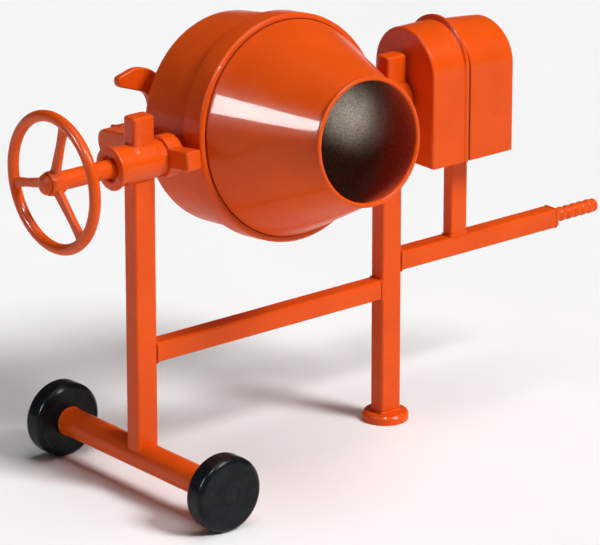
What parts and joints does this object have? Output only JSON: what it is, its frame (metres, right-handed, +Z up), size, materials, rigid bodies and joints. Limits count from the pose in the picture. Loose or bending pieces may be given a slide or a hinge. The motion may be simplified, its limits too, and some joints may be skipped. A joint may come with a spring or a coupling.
{
  "type": "concrete mixer",
  "caption": "Orange site concrete mixer with a tilting conical drum, a spoked handwheel, a wheeled tube frame and an arched motor case.",
  "frame": {"origin": "centre of the foot's underside, on the ground", "axes": "+X along the frame from the wheels to the barrow handle, +Z up, the drum's mouth points to -Y"},
  "size_m": [1.8439, 0.7894, 1.1933],
  "materials": {
    "orange_paint": "gloss",
    "black_rubber": "satin",
    "black_plastic": "matte",
    "steel": "satin",
    "cast_iron": "matte",
    "red_plastic": "gloss",
    "green_plastic": "gloss"
  },
  "bodies": {
    "frame": {"axle_tube": "orange_paint", "axle_shaft": "steel", "left_post": "orange_paint", "right_post": "orange_paint", "lower_beam": "orange_paint", "handle_beam": "orange_paint", "handle_beam_cap": "orange_paint", "handle_rod": "steel", "handle_grip": "orange_paint", "foot_flange": "orange_paint", "left_bearing_housing": "orange_paint", "right_bearing_housing": "orange_paint", "left_bush_outer": "orange_paint", "tilt_brake_lining": "black_plastic", "left_bush_inner": "orange_paint", "right_bush": "orange_paint", "motor_pillar": "orange_paint", "pillar_top_plate": "orange_paint", "motor_case_front": "orange_paint", "motor_case_rear": "orange_paint", "motor_base_plate": "steel", "motor_body": "cast_iron", "drive_belt": "black_rubber", "switch_box": "black_plastic", "power_inlet": "black_plastic"},
    "yoke": {"yoke_arm_left": "orange_paint", "yoke_arm_right": "orange_paint", "yoke_crossbar": "orange_paint", "drum_spindle": "steel", "spindle_nut": "steel", "yoke_horn": "orange_paint", "tilt_shaft": "orange_paint", "drive_trunnion": "steel", "drive_bearing_inner": "steel", "drive_bearing_outer": "steel", "handwheel": "orange_paint", "handwheel_cap": "orange_paint"},
    "drum": {"drum_rear_shell": "orange_paint", "drum_front_shell": "orange_paint", "drum_hub": "cast_iron", "ring_gear": "orange_paint", "drum_bearing_front": "steel", "drum_bearing_rear": "steel", "mixing_paddle_1": "cast_iron", "mixing_paddle_2": "cast_iron"},
    "pinion": {"drive_pinion": "cast_iron", "drive_shaft": "steel", "driven_pulley": "cast_iron"},
    "motor_rotor": {"motor_shaft": "steel", "motor_pulley": "cast_iron", "motor_fan": "black_plastic"},
    "near_wheel": {"wheel_near": "black_rubber", "wheel_near_cap": "black_plastic"},
    "far_wheel": {"wheel_far": "black_rubber", "wheel_far_cap": "black_plastic"},
    "stop": {"stop_button": "red_plastic"},
    "start": {"start_button": "green_plastic"}
  },
  "joints": [
    {"name": "yoke_tilt", "type": "hinge", "parent": "frame", "child": "yoke", "pos_m": [-0.397, 0, 0.877], "axis": [1, 0, 0], "range_deg": [-70, 62]},
    {"name": "drum_spin", "type": "hinge", "parent": "yoke", "child": "drum", "pos_m": [-0.397, 0.00207, 0.89387], "axis": [0, 0.9925, -0.1219], "continuous": true},
    {"name": "pinion_spin", "type": "hinge", "parent": "yoke", "child": "pinion", "pos_m": [-0.1, 0, 0.877], "axis": [1, 0, 0], "continuous": true},
    {"name": "motor_spin", "type": "hinge", "parent": "frame", "child": "motor_rotor", "pos_m": [0.2, 0.04, 0.785], "axis": [1, 0, 0], "continuous": true},
    {"name": "near_wheel_spin", "type": "hinge", "parent": "frame", "child": "near_wheel", "pos_m": [-0.805, -0.3265, 0.0984], "axis": [0, 1, 0], "continuous": true},
    {"name": "far_wheel_spin", "type": "hinge", "parent": "frame", "child": "far_wheel", "pos_m": [-0.805, 0.3385, 0.0984], "axis": [0, 1, 0], "continuous": true},
    {"name": "stop_press", "type": "slide", "parent": "frame", "child": "stop", "axis": [-1, 0, 0], "range_m": [0, 0.003], "stiffness_N_per_m": 400},
    {"name": "start_press", "type": "slide", "parent": "frame", "child": "start", "axis": [-1, 0, 0], "range_m": [0, 0.003], "stiffness_N_per_m": 400}
  ],
  "couplings": [
    {"joint": "pinion_spin", "follows": "drum_spin", "ratio": 7},
    {"joint": "motor_spin", "follows": "drum_spin", "ratio": 35.77}
  ]
}
